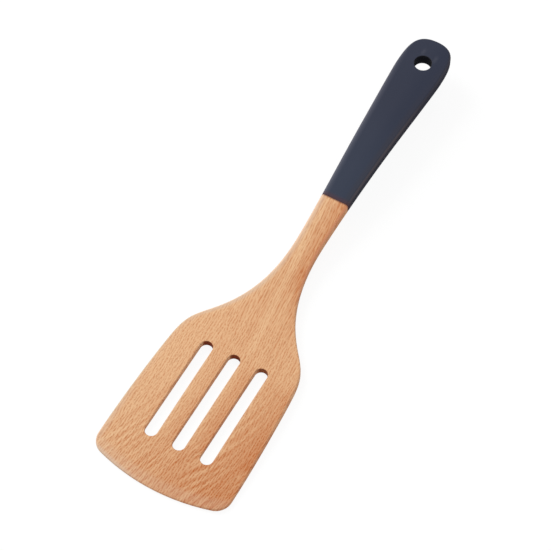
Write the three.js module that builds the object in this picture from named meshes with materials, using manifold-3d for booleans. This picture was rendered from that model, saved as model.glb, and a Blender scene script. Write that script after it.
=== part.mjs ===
// Slotted wooden spatula: a beech blade with a slim bent neck, and a moulded grip over its tang.
// Millimetres, +Z up. X runs across, Y runs from the blade tip (low) to the hanging end (high).
// The flat back of the blade lies on Z = 0 and the grip rises behind it.
import * as THREE from "three";
import { mergeVertices } from "three/addons/utils/BufferGeometryUtils.js";
import Module from "manifold-3d";

// Outline: lengths run from the blade tip towards the hanging end, half widths from the middle line
const overallLength = 300;
const bladeHalfWidth = 38.4;
const frontEdgeRadius = 110;
const frontCornerRadius = 8.9;
const straightSideLength = 3;
const shoulderStart = 77.9;
const shoulderHalfWidth = 35.75;
const shoulderSlope = -0.09;
const shoulderLength = 24.15;
const flareHalfWidth = 25;
const flareSlope = -0.806;
const flareLength = 55.2;
const neckHalfWidth = 6.95;
const gripHalfWidth = 13.4;
const gripEndLength = 22;

// How far each smooth stretch holds its first and last direction, as shares of the stretch
const sideHold = [0.31, 0.21];
const shoulderHold = [0.51, 0.4];
const flareHold = [0.28, 0.455];
const handleHold = [0.257, 0.08];
const gripEndHold = [0.59, 0.93];

// Side profile of the back, and thickness along the spatula
const bendStart = 105;
const bendEnd = 235;
const bendRise = 11.25;
const gripIncline = 0.025;
const tipThickness = 1.5;
const bladeThickness = 4.2;
const gripThickness = 6.9;
const tipTaperLength = 84;
const thickeningStart = 70;
const thickeningEnd = 200;

// Rounded edges
const bladeEdgeRadius = 0.9;
const gripEdgeRadius = 1.6;
const edgeBlendStart = 95;
const edgeBlendEnd = 165;
const largestEdgeShare = 0.42;

// Drain slots
const slotCount = 3;
const slotPitch = 16.05;
const slotWidth = 6.9;
const slotLength = 60.1;
const slotFromTip = 23.7;
const slotEdgeBreak = 0.35;

// Grip, tang and hanging hole
const gripLength = 114.4;
const gripWall = 1.6;
const tangClearance = 0.3;
const tangEdgeRadius = 1;
const tangRoot = 6;
const tangToHole = 7;
const holeDiameter = 9.4;
const holeFromEnd = 16.9;
const holeEdgeBreak = 0.4;

// How finely the curved stretches are divided
const frontSteps = 16;
const cornerSteps = 8;
const sideSteps = 14;
const shoulderSteps = 14;
const flareSteps = 18;
const handleSteps = 34;
const gripEndSteps = 18;
const edgeSteps = 4;
const slotEndSteps = 12;
const slotSideSteps = 8;
const holeSteps = 40;
const tangSteps = 24;
const cutterOverrun = 2;

const seamStation = overallLength - gripLength;
const holeStation = overallLength - holeFromEnd;
const tangEnd = holeStation - holeDiameter / 2 - tangToHole;

const wasm = await Module();
wasm.setup();

// Height of the back: flat under the blade, a soft S bend along the neck, then a gentle straight climb
function backHeight(station) {
  const span = bendEnd - bendStart;
  const part = THREE.MathUtils.clamp((station - bendStart) / span, 0, 1);
  const lift = bendRise * (3 * part ** 2 - 2 * part ** 3);
  const lean = gripIncline * span * (part ** 3 - part ** 2);
  return lift + lean + gripIncline * Math.max(station - bendEnd, 0);
}

// Thickness: a thin tip, a blade that fills out along the slots, and a full grip
function thickness(station) {
  const taper = Math.sin((Math.PI / 2) * THREE.MathUtils.clamp(station / tipTaperLength, 0, 1));
  const blade = THREE.MathUtils.lerp(tipThickness, bladeThickness, taper);
  const thickening = THREE.MathUtils.smoothstep(station, thickeningStart, thickeningEnd);
  return blade + (gripThickness - bladeThickness) * thickening;
}

function frontHeight(station) {
  return backHeight(station) + thickness(station);
}

// Edge rounding grows from a crisp blade to a soft neck and grip, and never eats a thin tip
function edgeRadius(station) {
  const grown = THREE.MathUtils.smoothstep(station, edgeBlendStart, edgeBlendEnd);
  const wanted = THREE.MathUtils.lerp(bladeEdgeRadius, gripEdgeRadius, grown);
  return Math.min(wanted, largestEdgeShare * thickness(station));
}

// Smooth stretch between two points whose directions are given as sideways slopes
function smoothStretch(from, fromSlope, to, toSlope, [holdFirst, holdLast]) {
  const reach = from.distanceTo(to);
  const leaving = new THREE.Vector2(fromSlope, 1).normalize().multiplyScalar(reach * holdFirst);
  const arriving = new THREE.Vector2(toSlope, 1).normalize().multiplyScalar(reach * holdLast);
  return new THREE.CubicBezierCurve(from, from.clone().add(leaving), to.clone().sub(arriving), to);
}

function arc(centreX, centreY, radius, fromAngle, toAngle) {
  return new THREE.EllipseCurve(centreX, centreY, radius, radius, fromAngle, toAngle);
}

// Right half of the outline, from the middle of the tip to the middle of the hanging end
function halfOutlineCurves() {
  const cornerX = bladeHalfWidth - frontCornerRadius;
  const cornerReach = frontEdgeRadius - frontCornerRadius;
  const cornerY = frontEdgeRadius - Math.sqrt(cornerReach ** 2 - cornerX ** 2);
  const straightDown = -Math.PI / 2;
  const cornerAngle = straightDown + Math.atan2(cornerX, frontEdgeRadius - cornerY);
  const corner = new THREE.Vector2(bladeHalfWidth, cornerY);
  const side = new THREE.Vector2(bladeHalfWidth, cornerY + straightSideLength);
  const shoulder = new THREE.Vector2(shoulderHalfWidth, shoulderStart);
  const flare = new THREE.Vector2(flareHalfWidth, shoulderStart + shoulderLength);
  const neck = new THREE.Vector2(neckHalfWidth, flare.y + flareLength);
  const widest = new THREE.Vector2(gripHalfWidth, overallLength - gripEndLength);
  const end = new THREE.Vector2(0, overallLength);
  const endSide = new THREE.Vector2(gripHalfWidth, widest.y + gripEndLength * gripEndHold[0]);
  const endTop = new THREE.Vector2(gripHalfWidth * gripEndHold[1], overallLength);
  return [
    [arc(0, frontEdgeRadius, frontEdgeRadius, straightDown, cornerAngle), frontSteps],
    [arc(cornerX, cornerY, frontCornerRadius, cornerAngle, 0), cornerSteps],
    [new THREE.LineCurve(corner, side), 1],
    [smoothStretch(side, 0, shoulder, shoulderSlope, sideHold), sideSteps],
    [smoothStretch(shoulder, shoulderSlope, flare, flareSlope, shoulderHold), shoulderSteps],
    [smoothStretch(flare, flareSlope, neck, 0, flareHold), flareSteps],
    [smoothStretch(neck, 0, widest, 0, handleHold), handleSteps],
    [new THREE.CubicBezierCurve(widest, endSide, endTop, end), gripEndSteps],
  ];
}

// Spots along the half outline, each with its outward direction
function halfOutlineSpots() {
  const spots = [];
  for (const [curve, steps] of halfOutlineCurves()) {
    for (let i = spots.length ? 1 : 0; i <= steps; i++) {
      const { x, y } = curve.getPoint(i / steps);
      const heading = curve.getTangent(i / steps);
      spots.push({ x, y, outX: heading.y, outY: -heading.x });
    }
  }
  Object.assign(spots[0], { x: 0, outX: 0 });
  Object.assign(spots[spots.length - 1], { x: 0, outX: 0 });
  return spots;
}

const outlineSpots = halfOutlineSpots();

// Rings of a rounded plate, from the rim of its back face up to the rim of its front face
function plateRings(spots, inset, roundingAt) {
  const ring = (share, heightAt) =>
    spots.map((spot) => {
      const rounding = roundingAt(spot.y);
      const inward = inset + rounding * share;
      const y = spot.y - spot.outY * inward;
      return new THREE.Vector3(spot.x - spot.outX * inward, y, heightAt(y, rounding));
    });
  const rings = [];
  for (let i = 0; i <= edgeSteps; i++) {
    const angle = (Math.PI / 2) * (1 - i / edgeSteps);
    const rise = 1 - Math.sin(angle);
    rings.push(ring(1 - Math.cos(angle), (y, rounding) => backHeight(y) + inset + rounding * rise));
  }
  for (let i = 0; i <= edgeSteps; i++) {
    const angle = (Math.PI / 2) * (i / edgeSteps);
    const fall = 1 - Math.sin(angle);
    rings.push(ring(1 - Math.cos(angle), (y, rounding) => frontHeight(y) - inset - rounding * fall));
  }
  return rings;
}

function geometryFrom(positions, triangles) {
  const geometry = new THREE.BufferGeometry();
  geometry.setAttribute("position", new THREE.Float32BufferAttribute(positions, 3));
  geometry.setIndex(triangles);
  return geometry;
}

// Closed plate that mirrors half rings to the left and spans both faces with straight strips
function mirroredPlate(rings) {
  const positions = [];
  const triangles = [];
  const place = (x, y, z) => positions.push(x, y, z) / 3 - 1;
  const rows = rings.map((ring) => {
    const right = ring.map((spot) => place(spot.x, spot.y, spot.z));
    const left = ring.map((spot, i) => (spot.x === 0 ? right[i] : place(-spot.x, spot.y, spot.z)));
    return { right, left };
  });
  const face = (a, b, c) => {
    if (a !== b && b !== c && c !== a) triangles.push(a, b, c);
  };
  const panel = (a, b, c, d) => {
    face(a, b, c);
    face(a, c, d);
  };
  const last = rings[0].length - 1;
  for (let k = 1; k < rows.length; k++) {
    const low = rows[k - 1];
    const high = rows[k];
    for (let i = 0; i < last; i++) {
      panel(low.right[i], low.right[i + 1], high.right[i + 1], high.right[i]);
      panel(low.left[i + 1], low.left[i], high.left[i], high.left[i + 1]);
    }
    panel(low.left[0], low.right[0], high.right[0], high.left[0]);
    panel(low.right[last], low.left[last], high.left[last], high.right[last]);
  }
  const back = rows[0];
  const front = rows[rows.length - 1];
  for (let i = 0; i < last; i++) {
    panel(front.right[i], front.right[i + 1], front.left[i + 1], front.left[i]);
    panel(back.left[i], back.left[i + 1], back.right[i + 1], back.right[i]);
  }
  return geometryFrom(positions, triangles);
}

// Closed cutter through both faces, flared by the edge break where it leaves them
function throughCutter(loop, edgeBreak) {
  const flare = edgeBreak + cutterOverrun;
  const rings = [
    [flare, (y) => backHeight(y) - cutterOverrun],
    [0, (y) => backHeight(y) + edgeBreak],
    [0, (y) => frontHeight(y) - edgeBreak],
    [flare, (y) => frontHeight(y) + cutterOverrun],
  ];
  const count = loop.length;
  const positions = [];
  const triangles = [];
  for (const [grow, heightAt] of rings) {
    for (const spot of loop) {
      positions.push(spot.x + spot.outX * grow, spot.y + spot.outY * grow, heightAt(spot.y));
    }
  }
  for (let k = 1; k < rings.length; k++) {
    const low = (k - 1) * count;
    const high = k * count;
    for (let i = 0; i < count; i++) {
      const next = (i + 1) % count;
      triangles.push(low + i, low + next, high + next);
      triangles.push(low + i, high + next, high + i);
    }
  }
  const outline = loop.map((spot) => new THREE.Vector2(spot.x, spot.y));
  const top = (rings.length - 1) * count;
  for (const [a, b, c] of THREE.ShapeUtils.triangulateShape(outline, [])) {
    triangles.push(c, b, a);
    triangles.push(top + a, top + b, top + c);
  }
  return geometryFrom(positions, triangles);
}

function spotOnCircle(centreX, centreY, radius, angle) {
  const outX = Math.cos(angle);
  const outY = Math.sin(angle);
  return { x: centreX + radius * outX, y: centreY + radius * outY, outX, outY };
}

// Round-ended slot outline along Y, anticlockwise seen from above
function slotLoop(centreX) {
  const radius = slotWidth / 2;
  const low = slotFromTip + radius;
  const high = slotFromTip + slotLength - radius;
  const loop = [];
  for (let i = 0; i <= slotEndSteps; i++) {
    loop.push(spotOnCircle(centreX, low, radius, Math.PI + (Math.PI * i) / slotEndSteps));
  }
  for (let i = 1; i < slotSideSteps; i++) {
    const y = THREE.MathUtils.lerp(low, high, i / slotSideSteps);
    loop.push({ x: centreX + radius, y, outX: 1, outY: 0 });
  }
  for (let i = 0; i <= slotEndSteps; i++) {
    loop.push(spotOnCircle(centreX, high, radius, (Math.PI * i) / slotEndSteps));
  }
  for (let i = 1; i < slotSideSteps; i++) {
    const y = THREE.MathUtils.lerp(high, low, i / slotSideSteps);
    loop.push({ x: centreX - radius, y, outX: -1, outY: 0 });
  }
  return loop;
}

function holeLoop() {
  const spot = (_, i) => spotOnCircle(0, holeStation, holeDiameter / 2, (2 * Math.PI * i) / holeSteps);
  return Array.from({ length: holeSteps }, spot);
}

function halfWidthAt(station) {
  const next = outlineSpots.findIndex((spot) => spot.y > station);
  const before = outlineSpots[next - 1];
  const after = outlineSpots[next];
  return THREE.MathUtils.mapLinear(station, before.y, after.y, before.x, after.x);
}

// Tang, or the pocket for it: the handle's own form set in from its surface, with square ends
function tangPlate(inset, to) {
  const from = seamStation - tangRoot;
  const spots = Array.from({ length: tangSteps + 1 }, (_, i) => {
    const y = THREE.MathUtils.lerp(from, to, i / tangSteps);
    return { x: halfWidthAt(y), y, outX: 1, outY: 0 };
  });
  const rounding = (y) => Math.min(tangEdgeRadius, largestEdgeShare * (thickness(y) - 2 * inset));
  return mirroredPlate(plateRings(spots, inset, rounding));
}

function solid(geometry) {
  geometry.deleteAttribute("normal");
  geometry.deleteAttribute("uv");
  const merged = mergeVertices(geometry);
  const vertProperties = new Float32Array(merged.getAttribute("position").array);
  const triVerts = new Uint32Array(merged.index.array);
  return new wasm.Manifold(new wasm.Mesh({ numProp: 3, vertProperties, triVerts }));
}

// Block that holds everything between two stations
function block(from, to) {
  const geometry = new THREE.BoxGeometry(overallLength, to - from, overallLength);
  geometry.translate(0, (from + to) / 2, 0);
  return solid(geometry);
}

// Named piece, moved so that the origin lies halfway along the spatula
function piece(name, body, material) {
  const made = body.getMesh();
  const geometry = geometryFrom(Array.from(made.vertProperties), Array.from(made.triVerts));
  geometry.translate(0, -overallLength / 2, 0);
  const faceted = geometry.toNonIndexed();
  faceted.computeVertexNormals();
  const mesh = new THREE.Mesh(faceted, material);
  mesh.name = name;
  return mesh;
}

// Whole form shared by the wood and the grip, so that they meet flush at the seam
const wholeForm = solid(mirroredPlate(plateRings(outlineSpots, 0, edgeRadius)));

// Beech blade, neck and tang in one piece of wood, with a row of drain slots
const tang = solid(tangPlate(gripWall + tangClearance, tangEnd));
let wood = wholeForm.intersect(block(-overallLength, seamStation)).add(tang);
for (let i = 0; i < slotCount; i++) {
  const centreX = (i - (slotCount - 1) / 2) * slotPitch;
  wood = wood.subtract(solid(throughCutter(slotLoop(centreX), slotEdgeBreak)));
}

// Moulded grip with a blind pocket for the tang and a hanging hole through its end
const pocket = solid(tangPlate(gripWall, tangEnd + tangClearance));
const hangingHole = solid(throughCutter(holeLoop(), holeEdgeBreak));
const handleForm = wholeForm.intersect(block(seamStation, 2 * overallLength));
const sleeve = handleForm.subtract(pocket).subtract(hangingHole);

const beech = new THREE.MeshStandardMaterial({ color: 0xd8a273, roughness: 0.6, metalness: 0 });
const navy = new THREE.MeshStandardMaterial({ color: 0x393d4b, roughness: 0.55, metalness: 0 });

const spatula = new THREE.Group();
spatula.name = "wooden_spatula";
spatula.add(piece("beech_blade", wood, beech));
spatula.add(piece("grip_sleeve", sleeve, navy));

export default spatula;
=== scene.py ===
"""Slotted wooden spatula: a beech blade with a slim bent neck, and a dark moulded grip."""
import math

import bpy
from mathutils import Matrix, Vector


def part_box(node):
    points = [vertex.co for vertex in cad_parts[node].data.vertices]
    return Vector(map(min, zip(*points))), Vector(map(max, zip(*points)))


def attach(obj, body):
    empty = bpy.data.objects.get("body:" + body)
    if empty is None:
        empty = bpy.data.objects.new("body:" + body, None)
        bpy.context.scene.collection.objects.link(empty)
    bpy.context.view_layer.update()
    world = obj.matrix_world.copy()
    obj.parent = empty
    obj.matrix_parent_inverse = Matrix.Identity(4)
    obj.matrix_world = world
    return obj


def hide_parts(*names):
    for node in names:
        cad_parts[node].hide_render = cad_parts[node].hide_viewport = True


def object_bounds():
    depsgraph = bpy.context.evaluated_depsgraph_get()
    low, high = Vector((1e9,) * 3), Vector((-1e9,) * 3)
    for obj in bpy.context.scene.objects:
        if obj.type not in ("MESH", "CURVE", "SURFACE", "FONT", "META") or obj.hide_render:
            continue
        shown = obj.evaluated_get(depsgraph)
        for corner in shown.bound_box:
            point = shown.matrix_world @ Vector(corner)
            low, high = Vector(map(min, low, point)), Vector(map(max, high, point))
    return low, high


bl_info = {
    "name": "Slotted Wooden Spatula",
    "version": (1, 0, 0),
    "blender": (4, 5, 0),
    "location": "3D View > Sidebar > Spatula",
    "description": "Models a slotted beech spatula with a dark moulded grip on a pale studio floor",
    "category": "Add Mesh",
}

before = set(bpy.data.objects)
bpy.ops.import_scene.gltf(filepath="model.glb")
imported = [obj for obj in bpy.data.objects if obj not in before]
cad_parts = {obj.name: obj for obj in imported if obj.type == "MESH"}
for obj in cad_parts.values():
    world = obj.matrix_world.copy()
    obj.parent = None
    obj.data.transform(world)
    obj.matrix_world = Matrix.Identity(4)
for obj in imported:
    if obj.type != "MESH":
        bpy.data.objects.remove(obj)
CAD_LOW, CAD_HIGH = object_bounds()
WOOD_LOW, WOOD_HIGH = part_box("beech_blade")
GRIP_LOW, GRIP_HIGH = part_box("grip_sleeve")

MM = 0.001
MERGE_DISTANCE = 1e-6
# How far each smooth stretch of the outline keeps its direction, as shares of its length
SIDE_HOLD = (0.31, 0.21)
SHOULDER_HOLD = (0.51, 0.4)
FLARE_HOLD = (0.28, 0.455)
NECK_HOLD = (0.257, 0.08)
# Along the sides and across the middle of the hanging end, as shares of its length and half width
END_HOLD = (0.59, 0.93)
# Points that a curve gets between two places, for the outline, the slots and the hole
OUTLINE_STEPS, SLOT_STEPS, HOLE_STEPS = 26, 12, 14
RIM_SEGMENTS, SEAM_SEGMENTS = 6, 2
# The body is cut across this often before it is bent. The first cut lies a multiple of the corner
# radius from the tip, and the last one a multiple of the hole's width past its middle.
CUT_STEP = 2 * MM
FIRST_CUT, LAST_CUT = 1.8, 0.8
# Steps of the tang along the handle, of the widths in the wood's material, and of a search on a curve
HANDLE_STEPS, WIDTH_STEPS, SEARCH_STEPS = 10, 24, 40
# An edge this near a slot or the hole belongs to its rim
RIM_REACH = 1 * MM
# A face this near the seam and this square to the length closes a piece there
SEAM_REACH, SQUARE_ON = 0.1 * MM, 0.999
# Turns between faces that are taken as flat, as a sharp rim, and as smooth
FLAT_TURN, SHARP_TURN, SMOOTH_TURN = (math.radians(degrees) for degrees in (0.05, 60, 50))
# Faint scuffs by the hanging hole, in millimetres: place across, place past the hole, half length
SCUFFS = ((-3.2, 6.7, 3.4), (4.9, 5.0, 3.8))
SENSOR_WIDTH = 36
WHITE = (1, 1, 1, 1)


def srgb(code):
    """Linear colour of a six-digit hexadecimal screen colour."""
    shares = [int(code[i:i + 2], 16) / 255 for i in (0, 2, 4)]
    return tuple(s / 12.92 if s <= 0.04045 else ((s + 0.055) / 1.055) ** 2.4 for s in shares)


# Properties by kind: a length, a plain ratio or strength, a surface colour, a place in metres, an angle
def length(label, text, millimetres):
    return bpy.props.FloatProperty(
        name=label, description=text, default=millimetres * MM, unit="LENGTH", precision=5)


def share(label, text, default):
    return bpy.props.FloatProperty(name=label, description=text, default=default, precision=3)


def tint(label, text, code):
    return bpy.props.FloatVectorProperty(
        name=label, description=text, default=srgb(code), subtype="COLOR", size=3, min=0, max=1)


def spot(label, text, place):
    return bpy.props.FloatVectorProperty(name=label, description=text, default=place, subtype="TRANSLATION")


def angle(label, text, degrees):
    return bpy.props.FloatProperty(
        name=label, description=text, default=math.radians(degrees), subtype="ANGLE")


class SpatulaForm(bpy.types.PropertyGroup):
    """Outline and side profile, with lengths measured from the blade tip."""

    overall: length("Overall length", "Blade tip to hanging end", (GRIP_HIGH.y - WOOD_LOW.y) / MM)
    blade_half: length("Blade half width", "Middle line to the side of the blade", WOOD_HIGH.x / MM)
    front_radius: length("Front edge radius", "Curve of the front edge", 110)
    corner_radius: length("Front corner radius", "Rounding of the two front corners", 8.9)
    straight_side: length("Straight side", "Straight stretch above each front corner", 3)
    shoulder_start: length("Shoulder start", "Where the sides begin to turn in", 77.9)
    shoulder_half: length("Shoulder half width", "Half width where the sides turn in", 35.75)
    shoulder_slope: share("Shoulder slope", "Sideways slope where the sides turn in", -0.09)
    shoulder_length: length("Shoulder length", "Shoulder start to the middle of the flare", 24.15)
    flare_half: length("Flare half width", "Half width in the middle of the flare", 25)
    flare_slope: share("Flare slope", "Sideways slope in the middle of the flare", -0.806)
    flare_length: length("Flare length", "Middle of the flare to the slimmest neck", 55.2)
    neck_half: length("Neck half width", "Half width of the slimmest neck", 6.95)
    grip_half: length("Grip half width", "Half width of the widest grip", GRIP_HIGH.x / MM)
    grip_end: length("Grip end length", "Widest grip to the hanging end", 22)
    seam: length("Seam", "Where the wood meets the grip", (GRIP_LOW.y - WOOD_LOW.y) / MM)
    bend_start: length("Bend start", "Where the back leaves the flat", 105)
    bend_end: length("Bend end", "Where the back runs straight again", 235)
    bend_rise: length("Bend rise", "How far the neck lifts the grip", 11.25)
    incline: share("Grip incline", "Slope of the straight grip", 0.025)
    tip_thick: length("Tip thickness", "Thickness at the front edge", 1.5)
    blade_thick: length("Blade thickness", "Thickness past the slots", 4.2)
    grip_thick: length("Grip thickness", "Thickness of the grip", 6.9)
    tip_taper: length("Tip taper", "Length over which the blade thins to its tip", 84)
    swell_start: length("Swell start", "Where the neck begins to thicken", 70)
    swell_end: length("Swell end", "Where the full thickness is reached", 200)
    blade_edge: length("Blade edge radius", "Rounding of the blade's edges", 0.9)
    grip_edge: length("Grip edge radius", "Rounding of the neck and grip", 1.6)
    edge_start: length("Edge blend start", "Where the rounding begins to grow", 95)
    edge_end: length("Edge blend end", "Where the rounding is full", 165)
    edge_share: share("Largest edge share", "Most of the thickness that one rounding takes", 0.42)


class SpatulaDetails(bpy.types.PropertyGroup):
    """Slots, hanging hole, seam and tang."""

    slot_pitch: length("Slot pitch", "Middle of one slot to the next", 16.05)
    slot_width: length("Slot width", "Width of each slot", 6.9)
    slot_length: length("Slot length", "Length of each slot with its round ends", 60.1)
    slot_from_tip: length("Slot from tip", "Blade tip to the near end of the slots", 23.7)
    slot_edge: length("Slot edge", "Rounding of the slot rims", 0.4)
    hole_width: length("Hole diameter", "Diameter of the hanging hole", 9.4)
    hole_from_end: length("Hole from end", "Hanging end to the middle of the hole", 16.9)
    hole_edge: length("Hole edge", "Rounding of the hole's rims", 0.5)
    wood_seam_edge: length("Wood seam edge", "Rounding of the wood at the seam", 0.12)
    grip_seam_edge: length("Grip seam edge", "Rounding of the grip at the seam", 0.4)
    grip_wall: length("Grip wall", "Wall of the grip round the tang", 1.6)
    tang_gap: length("Tang clearance", "Room between the tang and its pocket", 0.3)
    tang_to_hole: length("Tang to hole", "End of the tang to the rim of the hole", 7)


class SpatulaFinish(bpy.types.PropertyGroup):
    """Colours of the beech and the grip."""

    beech_pale: tint("Pale beech", "Lightest wood", "E5B487")
    beech_warm: tint("Warm beech", "Darker, more orange wood", "CC8657")
    beech_ray: tint("Ray flecks", "Small dark flecks along the grain", "A8683B")
    # Dark end grain, also used for painted shade in the slots and on the walls
    beech_end_and_shade: tint("Slot ends", "Dark, oily wood across the grain", "762A0C")
    # Used for wear and painted highlight on the rims, and for painted bounce light on the straight slot
    # walls
    beech_lit_and_worn: tint("Worn edges", "Paler, greyer wood on the rounded edges", "DDC2AA")
    beech_line: tint("Left edge", "Greyer wood along the left edge of the blade", "B0B098")
    # Painted light: a brighter, redder tint on the right rounded edge of the neck
    beech_rim_light: tint("Warm edge", "Redder wood on the right edge of the neck", "F19F74")
    seam_darkening: tint("Seam stain", "Dark line where the wood meets the grip", "5A2E2E")
    grip_body: tint("Grip", "Navy grey of the grip", "292E3F")
    grip_worn: tint("Grip scuffs", "Lighter scuffs by the hanging hole", "5A5B66")
    grip_shade: tint("Hole shade", "Near black of the hanging hole", "0A0A0F")
    # Used for rubbed edges and for painted light on the grip's right rim
    grip_edge: tint("Grip edges", "Warmer grey of the rubbed edges", "60575A")
    # Painted sheen: a paler band along the left of the grip
    grip_sheen: tint("Grip band", "Paler grey along the left of the grip", "7E7E8A")
    # Painted light: a lighter, bluer grey on the grip towards the seam
    grip_lightening: tint("Grip haze", "Bluer grey of the grip towards the seam", "4E5F73")
    grip_warm: tint("Grip right", "Brown tinge along the right of the grip", "42300A")
    # Painted shade on the grip's side walls
    grip_side_shade: tint("Grip sides", "Browner sides of the grip", "2C2118")


class SpatulaStage(bpy.types.PropertyGroup):
    """Camera, lights and floor."""

    azimuth: angle("Camera azimuth", "Turn of the camera round the spatula", 29.88)
    elevation: angle("Camera elevation", "Height of the camera above the floor", 58.70)
    distance: length("Camera distance", "Camera to the point it looks at", 1142.6)
    target: spot("Camera target", "Point on the floor that the camera looks at", (-0.008017, -0.013086, 0))
    lens: bpy.props.FloatProperty(
        name="Lens", description="Focal length on a 36 mm sensor", default=143.74, unit="CAMERA")
    sky: share("Sky", "Strength of the even light from all round", 0.66)
    key_power: bpy.props.FloatProperty(
        name="Key light", description="Soft light from behind on the left", default=11.0, unit="POWER")
    key_place: spot("Key light place", "Middle of the soft light", (-1.00, 0.36, 0.76))
    key_size: length("Key light size", "Side of the square soft light", 700)
    floor_size: length("Floor size", "Side of the square floor", 6000)
    floor_gap: length("Floor gap", "Room between the floor and the blade's back", 0.1)
    floor_shade: share("Floor shade", "How much light the floor throws back", 0.9)
    floor_glow: share("Floor glow", "How much of the floor is plain white to the camera", 0.86)
    glow_power: share("Glow strength", "Strength of the floor's plain white", 1.04)


def station_to_y(form, station):
    """Place along the length of a station measured from the tip."""
    return station - form.overall / 2


def ease(value, start, end):
    """Smooth step from 0 at start to 1 at end."""
    part = min(max((value - start) / (end - start), 0), 1)
    return part * part * (3 - 2 * part)


def back_height(form, station):
    """Flat under the blade, a soft S bend along the neck, then a gentle straight climb."""
    span = form.bend_end - form.bend_start
    part = min(max((station - form.bend_start) / span, 0), 1)
    lift = form.bend_rise * (3 * part ** 2 - 2 * part ** 3)
    lean = form.incline * span * (part ** 3 - part ** 2)
    return lift + lean + form.incline * max(station - form.bend_end, 0)


def thickness(form, station):
    """A thin tip, a blade that fills out along the slots, and a full grip."""
    taper = math.sin(math.pi / 2 * min(max(station / form.tip_taper, 0), 1))
    blade = form.tip_thick + (form.blade_thick - form.tip_thick) * taper
    swell = ease(station, form.swell_start, form.swell_end)
    return blade + (form.grip_thick - form.blade_thick) * swell


def edge_radius(form, station):
    """Rounding of the outer edge, which grows from the blade to the grip."""
    grown = ease(station, form.edge_start, form.edge_end)
    wanted = form.blade_edge + (form.grip_edge - form.blade_edge) * grown
    return min(wanted, form.edge_share * thickness(form, station))


def arc_hold(turn, radius):
    """Length of the handles that make a stretch round through a turn."""
    return 4 / 3 * math.tan(turn / 4) * radius


def smooth_stretch(start, start_slope, end, end_slope, hold):
    """Handles of a stretch that leaves and arrives along sideways slopes."""
    reach = (end - start).length
    leaving = Vector((start_slope, 1)).normalized() * reach * hold[0]
    arriving = Vector((end_slope, 1)).normalized() * reach * hold[1]
    return start + leaving, end - arriving


def half_outline(form):
    """Right half of the outline as places and the handles of the stretches between them."""
    corner_x = form.blade_half - form.corner_radius
    corner_reach = form.front_radius - form.corner_radius
    corner_y = form.front_radius - math.sqrt(corner_reach ** 2 - corner_x ** 2)
    turn = math.atan2(corner_x, form.front_radius - corner_y)
    front_hold = arc_hold(turn, form.front_radius)
    corner_hold = arc_hold(math.pi / 2 - turn, form.corner_radius)
    heading = Vector((math.cos(turn), math.sin(turn)))
    tip = Vector((0, 0))
    touch = Vector((form.front_radius * math.sin(turn), form.front_radius * (1 - math.cos(turn))))
    corner = Vector((form.blade_half, corner_y))
    side = corner + Vector((0, form.straight_side))
    shoulder = Vector((form.shoulder_half, form.shoulder_start))
    flare = Vector((form.flare_half, form.shoulder_start + form.shoulder_length))
    neck = Vector((form.neck_half, flare.y + form.flare_length))
    widest = Vector((form.grip_half, form.overall - form.grip_end))
    end = Vector((0, form.overall))
    places = [tip, touch, corner, side, shoulder, flare, neck, widest, end]
    handles = [
        (tip + Vector((front_hold, 0)), touch - heading * front_hold),
        (touch + heading * corner_hold, corner - Vector((0, corner_hold))),
        (corner.lerp(side, 1 / 3), corner.lerp(side, 2 / 3)),
        smooth_stretch(side, 0, shoulder, form.shoulder_slope, SIDE_HOLD),
        smooth_stretch(shoulder, form.shoulder_slope, flare, form.flare_slope, SHOULDER_HOLD),
        smooth_stretch(flare, form.flare_slope, neck, 0, FLARE_HOLD),
        smooth_stretch(neck, 0, widest, 0, NECK_HOLD),
        (widest + Vector((0, form.grip_end * END_HOLD[0])),
         end + Vector((form.grip_half * END_HOLD[1], 0))),
    ]
    return places, handles


def body_loop(form):
    """Closed outline as (place, handle before, handle after), right side first."""
    places, handles = half_outline(form)
    last = len(places) - 1
    mirror = Vector((-1, 1))
    loop = [(places[0], handles[0][0] * mirror, handles[0][0])]
    loop += [(places[i], handles[i - 1][1], handles[i][0]) for i in range(1, last)]
    loop.append((places[last], handles[-1][1], handles[-1][1] * mirror))
    loop += [(places[i] * mirror, handles[i][0] * mirror, handles[i - 1][1] * mirror)
             for i in range(last - 1, 0, -1)]
    return loop


def round_loop(centre_x, low, high, radius):
    """Closed outline of a slot with round ends, or of a hole when both ends share a middle."""
    hold = arc_hold(math.pi / 2, radius)
    along, across = Vector((0, 1)), Vector((1, 0))
    bottom, top = Vector((centre_x, low)), Vector((centre_x, high))
    rise = along * ((high - low) / 3)
    loop = []
    for turn, near, far in ((1, bottom, top), (-1, top, bottom)):
        side = across * radius * turn
        tip, first, last = near - along * radius * turn, near + side, far + side
        aside, onward, third = across * hold * turn, along * hold * turn, rise * turn
        loop.append((tip, tip - aside, tip + aside))
        if low == high:
            loop.append((first, first - onward, first + onward))
        else:
            loop += [(first, first - onward, first + third), (last, last - third, last + onward)]
    return loop


def slot_centres(details):
    return [-details.slot_pitch, 0, details.slot_pitch]


def slot_ends(details):
    """Stations of the middles of the round ends of the slots."""
    radius = details.slot_width / 2
    low = details.slot_from_tip + radius
    return low, low + details.slot_length - details.slot_width


def hole_station(form, details):
    return form.overall - details.hole_from_end


def tang_end(form, details):
    """Station where the hidden tang ends, short of the hanging hole."""
    return hole_station(form, details) - details.hole_width / 2 - details.tang_to_hole


def add_loop(curve, form, loop, steps):
    spline = curve.splines.new("BEZIER")
    spline.bezier_points.add(len(loop) - 1)
    spline.use_cyclic_u = True
    spline.resolution_u = steps
    for point, places in zip(spline.bezier_points, loop):
        point.handle_left_type = point.handle_right_type = "FREE"
        flat = [(place.x, station_to_y(form, place.y), 0) for place in places]
        point.co, point.handle_left, point.handle_right = flat


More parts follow.
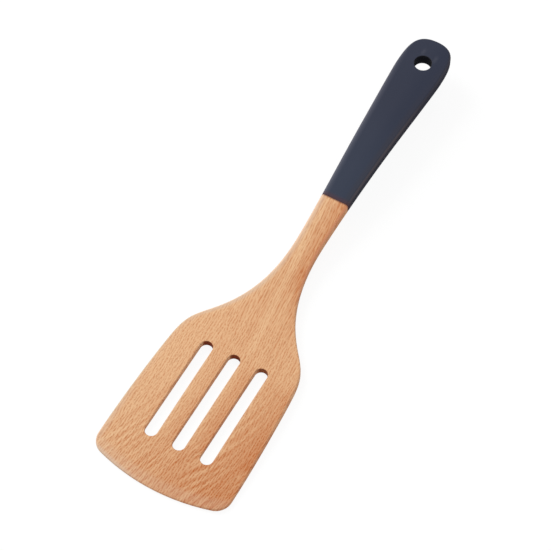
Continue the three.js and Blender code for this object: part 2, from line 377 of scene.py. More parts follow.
def flat_outline(form, details):
    """Flat sheet with the whole outline, the slots and the hole."""
    bpy.ops.curve.primitive_bezier_circle_add(radius=form.overall / 2)
    curve = bpy.context.object.data
    curve.splines.clear()
    add_loop(curve, form, body_loop(form), OUTLINE_STEPS)
    low, high = slot_ends(details)
    for centre_x in slot_centres(details):
        add_loop(curve, form, round_loop(centre_x, low, high, details.slot_width / 2), SLOT_STEPS)
    middle = hole_station(form, details)
    add_loop(curve, form, round_loop(0, middle, middle, details.hole_width / 2), HOLE_STEPS)
    curve.dimensions = "2D"
    curve.fill_mode = "BOTH"
    bpy.ops.object.convert(target="MESH")
    return bpy.context.object


def bend_stations(form, details):
    """Even stations from the front corners to past the hanging hole."""
    start = form.corner_radius * FIRST_CUT
    end = hole_station(form, details) + details.hole_width * LAST_CUT
    return [start + CUT_STEP * i for i in range(int((end - start) / CUT_STEP) + 1)]


def rim_radius(form, details, place):
    """Rounding of the rim at a place on it: slot, hole or outer edge."""
    station = place.y + form.overall / 2
    flat = Vector((place.x, station))
    low, high = slot_ends(details)
    nearest = min(max(station, low), high)
    slot_gap = min((flat - Vector((centre, nearest))).length for centre in slot_centres(details))
    if slot_gap < details.slot_width / 2 + RIM_REACH:
        return details.slot_edge
    hole_gap = (flat - Vector((0, hole_station(form, details)))).length
    if hole_gap < details.hole_width / 2 + RIM_REACH:
        return details.hole_edge
    return edge_radius(form, station)


def apply_modifier(piece, modifier):
    bpy.context.view_layer.objects.active = piece
    bpy.ops.object.modifier_apply(modifier=modifier.name)


def cut_across(co, normal):
    bpy.ops.mesh.select_all(action="SELECT")
    bpy.ops.mesh.bisect(plane_co=co, plane_no=normal, threshold=MERGE_DISTANCE)


def thicken_outline(form, details):
    """Flat outline drawn up to the full thickness, with its sharp rims left selected."""
    blank = flat_outline(form, details)
    bpy.ops.object.mode_set(mode="EDIT")
    bpy.ops.mesh.select_mode(type="EDGE")
    bpy.ops.mesh.select_all(action="SELECT")
    bpy.ops.mesh.remove_doubles(threshold=MERGE_DISTANCE)
    slot_middle = (0, station_to_y(form, sum(slot_ends(details)) / 2), 0)
    for normal in ((1, 0, 0), (0, 1, 0)):
        cut_across(slot_middle, normal)
        bpy.ops.mesh.mark_seam()
    bpy.ops.mesh.select_all(action="SELECT")
    bpy.ops.mesh.dissolve_limited(angle_limit=FLAT_TURN, delimit={"SEAM"})
    bpy.ops.mesh.select_all(action="SELECT")
    bpy.ops.mesh.mark_seam(clear=True)
    bpy.ops.mesh.extrude_region_move(TRANSFORM_OT_translate={"value": (0, 0, form.grip_thick)})
    bpy.ops.mesh.select_all(action="SELECT")
    bpy.ops.mesh.normals_make_consistent(inside=False)
    bpy.ops.mesh.select_all(action="DESELECT")
    bpy.ops.mesh.edges_select_sharp(sharpness=SHARP_TURN)
    bpy.ops.object.mode_set(mode="OBJECT")
    return blank


def rounded_blank(form, details, name):
    """Whole spatula form: the thick outline with its rims rounded, then bent to the side profile."""
    blank = thicken_outline(form, details)
    blank.name = blank.data.name = name
    mesh = blank.data
    weights = mesh.attributes.new("bevel_weight_edge", "FLOAT", "EDGE")
    for edge in mesh.edges:
        if edge.select:
            first, second = (mesh.vertices[i].co for i in edge.vertices)
            radius = rim_radius(form, details, (first + second) / 2)
            weights.data[edge.index].value = radius / form.grip_edge
    rounding = blank.modifiers.new("Rounded rims", "BEVEL")
    rounding.width = form.grip_edge
    rounding.segments = RIM_SEGMENTS
    rounding.limit_method = "WEIGHT"
    rounding.use_clamp_overlap = False
    apply_modifier(blank, rounding)
    bpy.ops.object.mode_set(mode="EDIT")
    for station in bend_stations(form, details):
        cut_across((0, station_to_y(form, station), 0), (0, 1, 0))
    bpy.ops.object.mode_set(mode="OBJECT")
    for vertex in blank.data.vertices:
        station = vertex.co.y + form.overall / 2
        on_front = vertex.co.z > form.grip_thick / 2
        lift = thickness(form, station) - form.grip_thick if on_front else 0
        vertex.co.z = max(vertex.co.z + back_height(form, station) + lift, 0)
    return blank


def select_cap(piece, y):
    """Selects the flat face that closes a piece at the seam."""
    bpy.ops.object.mode_set(mode="EDIT")
    bpy.ops.mesh.select_mode(type="FACE")
    bpy.ops.mesh.select_all(action="DESELECT")
    bpy.ops.object.mode_set(mode="OBJECT")
    flat = [face for face in piece.data.polygons
            if abs(face.normal.y) > SQUARE_ON and abs(face.center.y - y) < SEAM_REACH]
    if not flat:
        raise RuntimeError(f"{piece.name} has no face at its seam")
    max(flat, key=lambda face: face.area).select = True
    bpy.ops.object.mode_set(mode="EDIT")


def cut_at_seam(piece, form, keep_blade, edge):
    """Keeps one side of the seam, closes the cut and rounds its rim."""
    y = station_to_y(form, form.seam)
    bpy.ops.object.mode_set(mode="EDIT")
    bpy.ops.mesh.select_all(action="SELECT")
    bpy.ops.mesh.bisect(
        plane_co=(0, y, 0), plane_no=(0, 1, 0), threshold=MERGE_DISTANCE,
        use_fill=True, clear_outer=keep_blade, clear_inner=not keep_blade)
    select_cap(piece, y)
    bpy.ops.mesh.bevel(offset=edge, segments=SEAM_SEGMENTS, affect="EDGES")
    select_cap(piece, y)


def outline_half(form, station):
    """Half width of the outline at a station from the straight sides on."""
    places, handles = half_outline(form)
    side = 3
    stretch = max((i for i in range(side, len(handles)) if places[i].y <= station), default=side)
    a, d = places[stretch], places[stretch + 1]
    b, c = handles[stretch]
    low, high = 0.0, 1.0
    for _ in range(SEARCH_STEPS):
        t = (low + high) / 2
        place = a * (1 - t) ** 3 + b * 3 * t * (1 - t) ** 2 + c * 3 * t ** 2 * (1 - t) + d * t ** 3
        low, high = (t, high) if place.y < station else (low, t)
    return place.x


def step_in(form, edge, inset):
    """Draws the selected seam face in from its rim, so that its round corners shrink with it."""
    half, tall = outline_half(form, form.seam), thickness(form, form.seam) / 2
    smaller = ((half - inset) / (half - edge), 1, (tall - inset) / (tall - edge))
    centre = (0, station_to_y(form, form.seam), back_height(form, form.seam) + tall)
    bpy.ops.mesh.extrude_region_move(TRANSFORM_OT_translate={"value": (0, 0, 0)})
    bpy.ops.transform.resize(value=smaller, center_override=centre)


def run_along_handle(form, inset, end):
    """Draws the selected face on along the bent handle to the end station."""
    stations = [form.seam + (end - form.seam) * i / HANDLE_STEPS for i in range(HANDLE_STEPS + 1)]
    middles = [back_height(form, s) + thickness(form, s) / 2 for s in stations]
    halves = [outline_half(form, s) - inset for s in stations]
    for i in range(HANDLE_STEPS):
        step = (0, stations[i + 1] - stations[i], middles[i + 1] - middles[i])
        centre = (0, station_to_y(form, stations[i + 1]), middles[i + 1])
        bpy.ops.mesh.extrude_region_move(TRANSFORM_OT_translate={"value": step})
        bpy.ops.transform.resize(value=(halves[i + 1] / halves[i], 1, 1), center_override=centre)


def finish_piece(piece, material, node):
    """Even shading over the flat faces, the material, and the piece's place in the frame."""
    bpy.ops.object.mode_set(mode="OBJECT")
    bpy.ops.object.select_all(action="DESELECT")
    piece.select_set(True)
    bpy.context.view_layer.objects.active = piece
    bpy.ops.object.shade_smooth_by_angle(angle=SMOOTH_TURN)
    even = piece.modifiers.new("Even faces", "WEIGHTED_NORMAL")
    even.keep_sharp = True
    apply_modifier(piece, even)
    piece.data.materials.append(material)
    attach(piece, "root")
    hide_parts(node)


def opaque(colour):
    return (*colour, 1.0)


class NodeBench:
    """Small helper that places and links the nodes of a material or of the world."""

    def __init__(self, owner, shader="Principled BSDF"):
        self.owner = owner
        owner.use_nodes = True
        self.tree = owner.node_tree
        self.shader = self.tree.nodes[shader]

    def add(self, kind, links=None, **settings):
        node = self.tree.nodes.new(kind)
        for key, value in settings.items():
            setattr(node, key, value)
        for key, value in (links or {}).items():
            self.feed(node.inputs[key], value)
        return node

    def feed(self, socket, value):
        """Links a socket to another, or sets it to a plain value."""
        if isinstance(value, bpy.types.NodeSocket):
            self.tree.links.new(value, socket)
        else:
            socket.default_value = value

    def math(self, operation, *values):
        return self.add("ShaderNodeMath", dict(enumerate(values)), operation=operation).outputs[0]

    def times(self, *values):
        product, *others = values
        for value in others:
            product = self.math("MULTIPLY", product, value)
        return product

    def largest(self, *values):
        most, *others = values
        for value in others:
            most = self.math("MAXIMUM", most, value)
        return most

    def plus(self, total, part, share=1.0):
        """The total with a part, or a share of it, added."""
        return self.math("MULTIPLY_ADD", part, share, total)

    def ramp(self, part, low, high):
        """From low where the part is 0 to high where it is 1."""
        return self.math("MULTIPLY_ADD", part, high - low, low)

    def less(self, value, amount):
        return self.math("SUBTRACT", value, amount)

    def size(self, value):
        return self.math("ABSOLUTE", value)

    def step(self, value, start, end, low=0.0, high=1.0):
        """Smooth change from low to high as a value goes from start to end, up or down."""
        links = {"Value": value, "From Min": start, "From Max": end, "To Min": low, "To Max": high}
        node = self.add("ShaderNodeMapRange", links, interpolation_type="SMOOTHSTEP")
        return node.outputs["Result"]

    def layered(self, colour, *layers, clamp_factor=True):
        """The colour under layers, each a factor and the tint that it draws towards."""
        for factor, towards in layers:
            links = {0: factor, 6: colour, 7: opaque(towards)}
            node = self.add("ShaderNodeMix", links, data_type="RGBA", clamp_factor=clamp_factor)
            colour = node.outputs[2]
        return colour

    def stretched(self, vector, scale):
        return self.add("ShaderNodeMapping", {"Vector": vector, "Scale": scale}).outputs["Vector"]

    def noise(self, vector, stretch=None, scale=1.0, detail=2.0, roughness=0.5, distortion=0.0):
        """Soft noise between 0 and 1, drawn out by a stretch along the three axes."""
        links = {
            "Vector": self.stretched(vector, stretch) if stretch else vector, "Scale": scale,
            "Detail": detail, "Roughness": roughness, "Distortion": distortion}
        return self.add("ShaderNodeTexNoise", links).outputs["Fac"]

    def curve(self, value, points):
        """Smooth curve through points, with both parts of each point between 0 and 1."""
        node = self.add("ShaderNodeFloatCurve", {"Value": value})
        line = node.mapping.curves[0].points
        while len(line) < len(points):
            line.new(0.5, 0.5)
        for point, place in zip(line, points):
            point.location = place
        node.mapping.update()
        return node.outputs["Value"]

    def ripples(self, vector, stretch, frequency, evenness):
        """Stripes along the second axis that come and go, with so many to a cell of the stretch."""
        links = {0: self.stretched(vector, stretch), 1: 1.0, 2: frequency, 3: evenness, 4: 0.0}
        return self.add("ShaderNodeTexGabor", links).outputs["Value"]

    def seen_directly(self):
        """1 for rays from the camera, or seen in a reflection or through glass."""
        rays = self.add("ShaderNodeLightPath").outputs
        return self.largest(rays["Is Camera Ray"], rays["Is Glossy Ray"], rays["Is Transmission Ray"])


class PieceBench(NodeBench):
    """Bench for a piece: places on it in millimetres, and the way its surface faces."""

    def __init__(self, name, first_station, finish, form, details):
        super().__init__(bpy.data.materials.new(name))
        self.finish, self.form, self.details = finish, form, details
        place = self.add("ShaderNodeTexCoord").outputs["Object"]
        scaled = self.add("ShaderNodeVectorMath", {0: place, "Scale": 1 / MM}, operation="SCALE")
        self.place = scaled.outputs[0]
        self.x, self.y, self.z = self.parts(self.place)
        self.run = self.less(self.y, station_to_y(form, first_station) / MM)
        facing = self.add("ShaderNodeNewGeometry").outputs["Normal"]
        self.facing_x, self.facing_y, self.facing_z = self.parts(facing)
        self.flatness = self.size(self.facing_z)
        self.wall = self.step(self.flatness, start=0.75, end=0.30)

    def along(self, start, end, **levels):
        """Fade along the piece, from one distance to another in millimetres from where it starts."""
        return self.step(self.run, start, end, **levels)

    def aside(self, start, end, **levels):
        """Fade across the piece, from one place to another in millimetres from its middle line."""
        return self.step(self.x, start, end, **levels)

    def parts(self, vector):
        return self.add("ShaderNodeSeparateXYZ", {0: vector}).outputs

    def point(self, x, y, z):
        return self.add("ShaderNodeCombineXYZ", {"X": x, "Y": y, "Z": z}).outputs[0]

    def from_middle(self, middle_y):
        """Distance in plan from a place on the middle line."""
        flat = self.add("ShaderNodeVectorMath", {0: self.place, 1: (1, 1, 0)}, operation="MULTIPLY")
        links = {0: flat.outputs[0], 1: (0, middle_y, 0)}
        return self.add("ShaderNodeVectorMath", links, operation="DISTANCE").outputs["Value"]

    def dress(self, colour, texture, relief, strength, depth, gloss):
        """Feeds the shader, which is rougher on walls and where the texture is high."""
        rough = self.plus(self.ramp(texture, low=0.45, high=0.65), self.wall, share=0.4)
        links = {"Strength": strength, "Distance": depth, "Height": relief}
        self.feed(self.shader.inputs["Base Color"], colour)
        self.feed(self.shader.inputs["Roughness"], rough)
        self.feed(self.shader.inputs["Normal"], self.add("ShaderNodeBump", links).outputs["Normal"])
        self.shader.inputs["Specular IOR Level"].default_value = gloss


class BeechBench(PieceBench):
    """Oiled beech, which starts at the blade tip."""

    def __init__(self, finish, form, details):
        super().__init__("oiled_beech", 0, finish, form, details)
        self.find_places()
        self.lay_grain()
        colour = self.lit_and_worn_edges(self.slot_walls(self.grain_colour()))
        seam = form.seam / MM
        # A darker, reddish line along the seam
        darkening = self.along(seam - 1.10, seam - 0.15, high=0.80)
        colour = self.layered(colour, (darkening, finish.seam_darkening))
        relief = self.plus(self.plus(self.fibres, self.flecks, share=-0.8), self.dashes, share=-0.6)
        self.dress(colour, self.fibres, relief, strength=0.35, depth=0.00006, gloss=0.20)

    def find_places(self):
        """Strips beside the slots, distances in from the outline and the front edge, and slot walls."""
        form, pitch, half = self.form, self.details.slot_pitch / MM, self.details.slot_width / 2 / MM
        low, high = (station / MM for station in slot_ends(self.details))
        strips = self.math("DIVIDE", self.less(self.x, half), pitch)
        leftmost, rightmost = -2, 1
        number = self.largest(self.math("FLOOR", strips), leftmost)
        self.strip_part = self.less(strips, self.math("MINIMUM", number, rightmost))
        self.beside_slots = self.times(self.along(low - 3, low + 7), self.along(high + 3, high - 7))
        stations = [form.seam * i / WIDTH_STEPS for i in range(WIDTH_STEPS + 1)]
        widths = [(s / form.overall, outline_half(form, s) / form.blade_half) for s in stations]
        outline = self.curve(self.math("DIVIDE", self.run, form.overall / MM), widths)
        outline = self.times(outline, form.blade_half / MM)
        self.left_gap = self.plus(outline, self.x)
        self.right_gap = self.less(outline, self.x)
        front_middle = (form.front_radius - form.overall / 2) / MM
        self.front_gap = self.less(form.front_radius / MM, self.from_middle(front_middle))
        first, last, beyond = low - half, high + half, pitch + half + 4
        self.in_slots = self.times(
            self.along(first - 3, first - 1), self.along(last + 3, last + 1),
            self.step(self.size(self.x), start=beyond + 2, end=beyond))

    def lay_grain(self):
        """Fibres run along the handle with a slight turn, and are drawn out on the neck."""
        blade_end = self.form.bend_start / MM
        blade_part = self.math("MINIMUM", self.run, blade_end)
        past_blade = self.largest(self.less(self.run, blade_end), 0)
        tip_turn = -0.10
        turn = self.times(blade_part, self.plus(tip_turn, blade_part, share=0.00095))
        turn = self.plus(turn, past_blade, share=0.10)
        self.sway = self.noise(self.place, stretch=(0.030, 0.014, 0.030), detail=1.0)
        self.across = self.plus(self.x, self.plus(turn, self.sway, share=4.0))
        stretched_on = self.plus(blade_part, past_blade, share=0.45)
        grain = self.point(self.across, stretched_on, self.z)
        self.streaks = self.noise(grain, stretch=(0.40, 0.012, 0.2), detail=3.0, roughness=0.6)
        stripes = self.ripples(grain, stretch=(0.52, 0.27, 1.0), frequency=1.35, evenness=0.92)
        self.dashes = self.step(stripes, start=0.56, end=0.40)
        self.specks = self.noise(grain, stretch=(2.1, 0.9, 1.0), detail=1.0)
        self.fibres = self.noise(grain, stretch=(5.0, 0.16, 1.2), roughness=0.6)

        # Ray flecks: short dark dashes, each with its own strength
        links = {"Vector": self.stretched(grain, (1.15, 0.36, 0.22)), "Scale": 1.0, "Randomness": 1.0}
        cells = self.add("ShaderNodeTexVoronoi", links).outputs
        chance = self.add("ShaderNodeSeparateColor", {0: cells["Color"]}).outputs
        dash = self.step(self.plus(cells["Distance"], chance[0], share=-0.16), start=0.36, end=0.10)
        self.flecks = self.times(dash, self.ramp(chance[1], low=0.25, high=1.0))

    def growth_lines(self):
        """Change of tone by growth lines that lean over, plainest at the tip and up the right side."""
        bend_start, bend_end = 40, 110
        leaning = self.math("MINIMUM", self.run, bend_end)
        upright = self.largest(self.less(leaning, bend_start), 0)
        lean = self.plus(self.times(upright, upright, 0.0036), leaning, share=-0.50)
        swept = self.plus(self.plus(self.x, self.sway, share=9.0), lean)
        place = self.point(swept, self.y, self.z)
        bands = self.noise(place, stretch=(0.24, 0.020, 0.1), detail=3.0, roughness=0.55, distortion=0.5)
        band_share = self.plus(self.along(130, 95, high=0.35), self.along(62, 14, high=0.315))
        wobble = self.noise(place, stretch=(0.10, 0.03, 0.05))
        # Radians that the lines turn in a millimetre, and that they wobble by
        line_turn, wobble_turn = 1.61, 12
        lines = self.math("SINE", self.plus(self.times(wobble, wobble_turn), swept, share=line_turn))
        right_side = self.times(self.aside(8, 22), self.along(100, 72, high=0.12))
        line_share = self.largest(self.along(54, 20, low=0.03, high=0.20), right_side)
        patches = self.noise(place, stretch=(0.07, 0.035, 0.05), detail=1.0)
        fading = self.step(patches, start=0.36, end=0.64, low=0.35, high=1.65)
        change = self.times(self.less(bands, 0.5), band_share)
        return self.plus(change, lines, share=self.times(line_share, fading))

    def base_tone(self):
        """Paler towards the upper left and warmer towards the lower right, with painted shade that warms
        the right of the neck, the right edge of the flare and the right of each strip between the slots.
        """
        tip_tone, blade_tone, tip_tilt = 0.61, 0.22, 0.0122
        level = self.largest(self.plus(tip_tone, self.run, share=-0.0062), blade_tone)
        tilt = self.largest(self.plus(tip_tilt, self.run, share=-0.000085), 0)
        right_tip = self.times(self.largest(self.x, 0), self.along(36, 22))
        sideways = self.plus(self.math("MINIMUM", self.x, 0), right_tip)
        tone = self.plus(level, sideways, share=tilt)

        # Painted light and shade: each strip of wood between the slots is paler on its left, which faces
        # the light, and warmer on its right
        strip_light_and_shade = self.step(self.strip_part, start=-0.2, end=1.15, low=-0.30, high=0.70)
        strip_light_and_shade = self.times(strip_light_and_shade, self.aside(-30, -10), self.beside_slots)
        tone = self.plus(tone, strip_light_and_shade, share=self.along(66, 44, low=0.75, high=1.0))
        middle = self.times(self.aside(3, 10), self.aside(31, 24), self.beside_slots)
        tone = self.plus(tone, middle, share=0.20)

        # Painted shade and light: the flare is warmer along its right edge, which turns from the light, and
        # paler along its left
        shaded_right_edge = self.times(
            self.step(self.right_gap, start=5.0, end=2.5), self.along(106, 118), self.along(150, 138))
        tone = self.plus(tone, shaded_right_edge, share=0.20)
        lit_left_edge = self.times(
            self.step(self.left_gap, start=8.0, end=2.5), self.along(92, 102), self.along(150, 136))
        tone = self.plus(tone, lit_left_edge, share=-0.20)

        # One paler line runs down the neck into the blade
        line_place = 6.0
        line = self.step(self.size(self.less(self.across, line_place)), start=2.4, end=0.2)
        line = self.times(line, self.along(82, 94))
        tone = self.plus(tone, line, share=self.along(122, 148, low=-0.24, high=-0.09))
        self.on_neck = self.along(112, 145)
        tone = self.plus(tone, self.on_neck, share=-0.03)
        # Painted shade: the right of the neck is warmer, as its rounded side turns from the light
        return self.plus(tone, self.times(self.on_neck, self.aside(-2, 4.5)), share=0.55)

    def grain_colour(self):
        """Pale to warm beech by the tone, with browner dashes and flecks."""
        tone = self.plus(self.base_tone(), self.growth_lines())
        streak_share = self.along(78, 90, low=0.45, high=0.85)
        streak_share = self.plus(streak_share, self.on_neck, share=0.60)
        tone = self.plus(tone, self.less(self.streaks, 0.5), share=streak_share)
        dash_share = self.along(40, 15, low=0.55, high=0.75)
        dash_share = self.times(dash_share, self.step(self.specks, start=0.25, end=0.65))
        tone = self.plus(tone, self.less(self.dashes, 0.40), share=dash_share)
        tone = self.plus(tone, self.less(self.specks, 0.5), share=1.1)
        tone = self.plus(tone, self.less(self.fibres, 0.5), share=0.5)
        palest, warmest = -0.5, 1.8
        tone = self.math("MINIMUM", self.largest(tone, palest), warmest)
        pale = opaque(self.finish.beech_pale)
        colour = self.layered(pale, (tone, self.finish.beech_warm), clamp_factor=False)
        brown = self.plus(self.times(self.dashes, dash_share, 0.30), self.flecks, share=0.28)
        return self.layered(colour, (brown, self.finish.beech_ray))

    def slot_walls(self, colour):
        """Slot ends across the grain are dark, as end grain and painted shade; the straight slot walls are
        paler with painted bounce light and darker towards their tops with painted shade, and every wall is
        faintly darker.
        """
        lengthways = self.size(self.facing_y)
        straight = self.times(self.wall, self.in_slots, self.step(lengthways, start=0.6, end=0.2))
        # Painted bounce light on the straight slot walls
        painted_light = self.times(straight, 0.25)
        # Dark end grain and painted shade at the slot ends, deepest in the slots on the left
        ends = self.times(
            self.in_slots, self.step(lengthways, start=0.30, end=0.78),
            self.step(self.flatness, start=0.93, end=0.55),
            self.aside(8, 16, low=0.94, high=0.79))
        shaded = self.times(straight, self.step(self.z, start=0.4, end=3.2, high=0.10))
        # End grain and painted shade, with a faint painted shade on every wall
        soak_and_shade = self.largest(ends, shaded, self.times(self.wall, 0.04))
        return self.layered(colour, (painted_light, self.finish.beech_lit_and_worn), (soak_and_shade, self.finish.beech_end_and_shade))

    def lit_and_worn_edges(self, colour):
        """Paler, greyer rims: wear, with painted highlight where the edges face the light, most of all the
        front and the left.
        """
        outside = self.less(1, self.in_slots)
        # Painted light on the front edge, brightest on the left
        lit_front_edge = self.step(self.front_gap, start=8.0, end=4.0, high=0.17)
        bright_left = self.times(self.step(self.front_gap, start=2.8, end=0.3), self.aside(0, -24))
        lit_front_edge = self.times(self.plus(lit_front_edge, bright_left, share=0.55), self.along(20, 13))
        # Rounded rims, palest where they face the light on the left: wear and painted highlight
        rubbed_and_lit = self.times(
            self.step(self.flatness, start=0.99, end=0.80), outside,
            self.step(self.facing_x, start=0.1, end=-0.4, low=0.15, high=0.65))
        # Painted highlight along the left edge of the blade and the neck
        lit_left_strip = self.along(80, 104, low=0.15, high=0.65)
        lit_left_strip = self.plus(lit_left_strip, self.along(126, 146), share=-0.10)
        lit_left_strip = self.plus(lit_left_strip, self.along(50, 28), share=0.20)
        lit_left_strip = self.times(lit_left_strip, self.step(self.left_gap, start=4.0, end=1.0))
        # Painted highlight on the left edge of each strip beside the slots
        painted_light = self.times(
            self.step(self.strip_part, start=0.09, end=0.01, high=0.20), self.aside(-13, -12.5),
            self.beside_slots)
        worn_and_lit = self.largest(rubbed_and_lit, lit_left_strip, painted_light, lit_front_edge)

        # A greyer line along the left of the blade, and painted light that makes the right edge of the neck
        # brighter and redder
        left_line = self.times(
            self.step(self.facing_x, start=-0.1, end=-0.4), outside,
            self.along(16, 26), self.along(100, 86, high=0.35))
        # Painted light on the right rounded edge of the neck
        lit_right_rim = self.times(
            self.step(self.facing_x, start=0.15, end=0.45), self.step(self.facing_z, start=0.25, end=0.50),
            self.along(120, 138, high=0.60))
        finish = self.finish
        return self.layered(
            colour, (worn_and_lit, finish.beech_lit_and_worn), (left_line, finish.beech_line), (lit_right_rim, finish.beech_rim_light))


class GripBench(PieceBench):
    """Satin navy grip with a fine moulded texture, which starts at the seam."""

    def __init__(self, finish, form, details):
        super().__init__("satin_navy", form.seam, finish, form, details)
        self.hole_y = station_to_y(form, hole_station(form, details)) / MM
        grain = self.noise(self.place, scale=2.6, detail=3.0, roughness=0.6)
        colour = self.rubbed_and_lit_sides(self.body_colour(grain))

        # Painted shade makes the wall of the hanging hole near black, and the end at the seam is darker and
        # reddish
        past_rim = self.less(self.from_middle(self.hole_y), details.hole_width / 2 / MM)
        in_hole = self.step(past_rim, start=0.45, end=0.05, high=0.85)
        darkening = self.along(3.4, 0.2, high=0.42)
        colour = self.layered(colour, (in_hole, finish.grip_shade), (darkening, finish.seam_darkening))
        self.dress(colour, grain, grain, strength=0.25, depth=0.00004, gloss=0.15)

    def scuffs(self):
        """Soft pale streaks by the hanging hole."""
        total = 0.0
        for scuff_x, past_hole, reach in SCUFFS:
            along = self.size(self.less(self.y, self.hole_y + past_hole))
            aside = self.size(self.less(self.x, scuff_x))
            width = self.step(aside, start=1.7, end=0.1, high=0.20)
            total = self.plus(total, self.times(width, self.step(along, start=reach, end=0.5)))
        return total

    def body_colour(self, grain):
        """Navy grey, mottled by its grain, with painted light that makes it a little paler on the left and
        lighter and bluer towards the seam, and scuffed by the hole.
        """
        cloud = self.noise(self.place, stretch=(0.06, 0.02, 0.06))
        mottle_and_left_light = self.plus(self.times(cloud, 0.10), self.less(grain, 0.35), share=0.10)
        # Painted light: a little paler on the left of the grip, which faces the light
        mottle_and_left_light = self.plus(mottle_and_left_light, self.aside(-3, 7), share=-0.06)
        # Painted light: lighter and bluer towards the seam
        lightening = self.along(75, 0, high=0.12)
        finish = self.finish
        return self.layered(
            opaque(finish.grip_body), (mottle_and_left_light, finish.grip_worn), (lightening, finish.grip_lightening),
            (self.scuffs(), finish.grip_worn))

    def rubbed_and_lit_sides(self, colour):
        """Sides: a painted sheen band on the left, a browner band on the right, rounded edges rubbed paler
        in patches with painted light on the right rim, and walls browner and darker as painted shade.
        """
        form, finish = self.form, self.finish
        seam_half = outline_half(form, form.seam)
        far = form.overall - 2 * form.grip_end
        widening = (outline_half(form, far) - seam_half) / (far - form.seam)
        outline = self.plus(seam_half / MM, self.run, share=widening)
        edge_gap = self.less(outline, self.size(self.x))
        # Painted sheen along the left rim of the grip
        left_sheen = self.times(
            self.step(edge_gap, start=3.9, end=0.9), self.aside(-1, -5),
            self.along(60, 95, low=0.21, high=0.11))
        nearer_seam = self.along(85, 45)
        right_band = self.times(
            self.step(edge_gap, start=5.5, end=2.2), self.aside(1, 5),
            self.ramp(nearer_seam, low=0.05, high=0.14))
        # Rounded edges rubbed paler in patches, with painted light on the right rim
        rubbed_and_lit = self.times(
            self.step(self.flatness, start=0.02, end=0.40), self.step(self.flatness, start=0.995, end=0.85))
        patches = self.noise(self.place, stretch=(0.25, 0.05, 0.25), detail=3.0)
        # Painted light on the right rounded edge of the grip
        right_rim_light = self.times(
            self.step(self.facing_x, start=0.1, end=0.4), self.ramp(nearer_seam, low=0.04, high=0.32))
        rub_share = self.step(patches, start=0.30, end=0.65, low=0.10, high=0.18)
        rub_share = self.plus(rub_share, right_rim_light)
        rubbed_and_lit = self.times(rubbed_and_lit, rub_share)
        # Painted shade: the side walls of the grip are darker and browner
        walls = self.step(self.flatness, start=0.6, end=0.2, high=0.20)
        return self.layered(
            colour, (left_sheen, finish.grip_sheen), (right_band, finish.grip_warm),
            (rubbed_and_lit, finish.grip_edge), (walls, finish.grip_side_shade))


def floor_material(stage):
    """White floor that still shows the spatula's soft shadow."""
    bench = NodeBench(bpy.data.materials.new("studio_floor"))
    shade = stage.floor_shade
    bench.shader.inputs["Roughness"].default_value = 1.0
    bench.shader.inputs["Specular IOR Level"].default_value = 0.0
    bench.shader.inputs["Base Color"].default_value = opaque((shade, shade, shade))
    glow = bench.add("ShaderNodeEmission", {"Color": WHITE, "Strength": stage.glow_power})
    factor = bench.times(bench.seen_directly(), stage.floor_glow)
    links = {0: factor, 1: bench.shader.outputs[0], 2: glow.outputs[0]}
    output = bench.tree.nodes["Material Output"]
    bench.feed(output.inputs["Surface"], bench.add("ShaderNodeMixShader", links).outputs[0])
    return bench.owner


class SPATULA_OT_beech_blade(bpy.types.Operator):
    """Model the beech blade with its slots, neck and tang"""

    bl_idname = "spatula.beech_blade"
    bl_label = "Beech Blade"
    bl_options = {"REGISTER", "UNDO"}

    def execute(self, context):
        form, details = context.scene.spatula_form, context.scene.spatula_details
        piece = rounded_blank(form, details, "slotted_blade")
        cut_at_seam(piece, form, True, details.wood_seam_edge)
        inset = details.grip_wall + details.tang_gap
        step_in(form, details.wood_seam_edge, inset)
        run_along_handle(form, inset, tang_end(form, details))
        bench = BeechBench(context.scene.spatula_finish, form, details)
        finish_piece(piece, bench.owner, "beech_blade")
        return {"FINISHED"}


class SPATULA_OT_grip_sleeve(bpy.types.Operator):
    """Model the moulded grip with its pocket and hanging hole"""

    bl_idname = "spatula.grip_sleeve"
    bl_label = "Grip Sleeve"
    bl_options = {"REGISTER", "UNDO"}

    def execute(self, context):
        form, details = context.scene.spatula_form, context.scene.spatula_details
        piece = rounded_blank(form, details, "navy_grip")
        cut_at_seam(piece, form, False, details.grip_seam_edge)
        step_in(form, details.grip_seam_edge, details.grip_wall)
        run_along_handle(form, details.grip_wall, tang_end(form, details) + details.tang_gap)
        bench = GripBench(context.scene.spatula_finish, form, details)
        finish_piece(piece, bench.owner, "grip_sleeve")
        return {"FINISHED"}


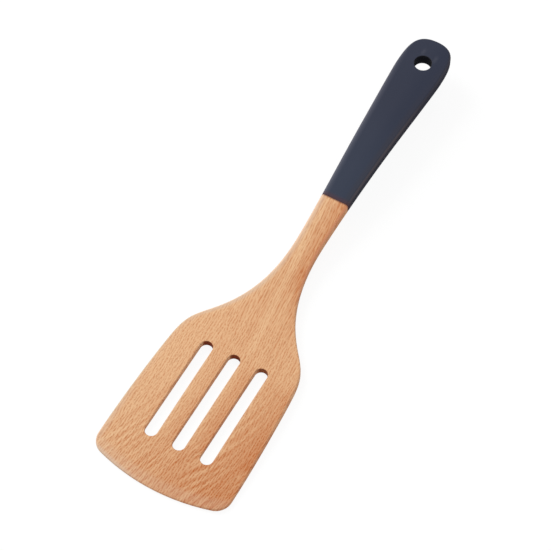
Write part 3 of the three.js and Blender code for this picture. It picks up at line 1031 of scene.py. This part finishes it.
class SPATULA_OT_stage(bpy.types.Operator):
    """Set up the pale floor, the soft light and the camera"""

    bl_idname = "spatula.stage"
    bl_label = "Studio Stage"
    bl_options = {"REGISTER", "UNDO"}

    def execute(self, context):
        stage = context.scene.spatula_stage
        floor_place = (0, 0, CAD_LOW.z - stage.floor_gap)
        bpy.ops.mesh.primitive_plane_add(size=stage.floor_size, location=floor_place)
        floor = context.object
        floor.name = "studio_floor"
        floor.data.materials.append(floor_material(stage))

        sky = NodeBench(bpy.data.worlds.new("studio_sky"), "Background")
        sky.feed(sky.shader.inputs["Strength"], sky.ramp(sky.seen_directly(), low=stage.sky, high=1))
        sky.shader.inputs["Color"].default_value = WHITE
        context.scene.world = sky.owner

        bpy.ops.object.light_add(type="AREA", location=stage.key_place)
        key = context.object
        key.name = "key_light"
        key.data.energy = stage.key_power
        key.data.size = stage.key_size
        key.rotation_euler = (-key.location).to_track_quat("-Z", "Y").to_euler()

        back = Vector((
            math.sin(stage.azimuth) * math.cos(stage.elevation),
            -math.cos(stage.azimuth) * math.cos(stage.elevation),
            math.sin(stage.elevation)))
        bpy.ops.object.camera_add(location=Vector(stage.target) + back * stage.distance)
        camera = context.object
        camera.rotation_euler = (-back).to_track_quat("-Z", "Y").to_euler()
        camera.data.sensor_width = SENSOR_WIDTH
        camera.data.lens = stage.lens
        context.scene.camera = camera
        context.scene.view_settings.view_transform = "Standard"
        return {"FINISHED"}


class SPATULA_PT_sidebar(bpy.types.Panel):
    """Lists the pieces of the spatula and their sizes"""

    bl_idname = "SPATULA_PT_sidebar"
    bl_label = "Slotted Spatula"
    bl_space_type = "VIEW_3D"
    bl_region_type = "UI"
    bl_category = "Spatula"

    def draw(self, context):
        for operator in OPERATORS:
            self.layout.operator(operator.bl_idname)
        for group in GROUPS:
            box = self.layout.box()
            values = getattr(context.scene, group)
            for name in values.__annotations__:
                box.prop(values, name)


OPERATORS = (SPATULA_OT_beech_blade, SPATULA_OT_grip_sleeve, SPATULA_OT_stage)
GROUPS = {
    "spatula_form": SpatulaForm,
    "spatula_details": SpatulaDetails,
    "spatula_finish": SpatulaFinish,
    "spatula_stage": SpatulaStage,
}
CLASSES = (*GROUPS.values(), *OPERATORS, SPATULA_PT_sidebar)


def register():
    for cls in CLASSES:
        bpy.utils.register_class(cls)
    for name, group in GROUPS.items():
        setattr(bpy.types.Scene, name, bpy.props.PointerProperty(type=group))


def unregister():
    for name in GROUPS:
        delattr(bpy.types.Scene, name)
    for cls in reversed(CLASSES):
        bpy.utils.unregister_class(cls)


def main():
    register()
    bpy.ops.spatula.beech_blade()
    bpy.ops.spatula.grip_sleeve()
    bpy.ops.spatula.stage()


if __name__ == "__main__":
    main()
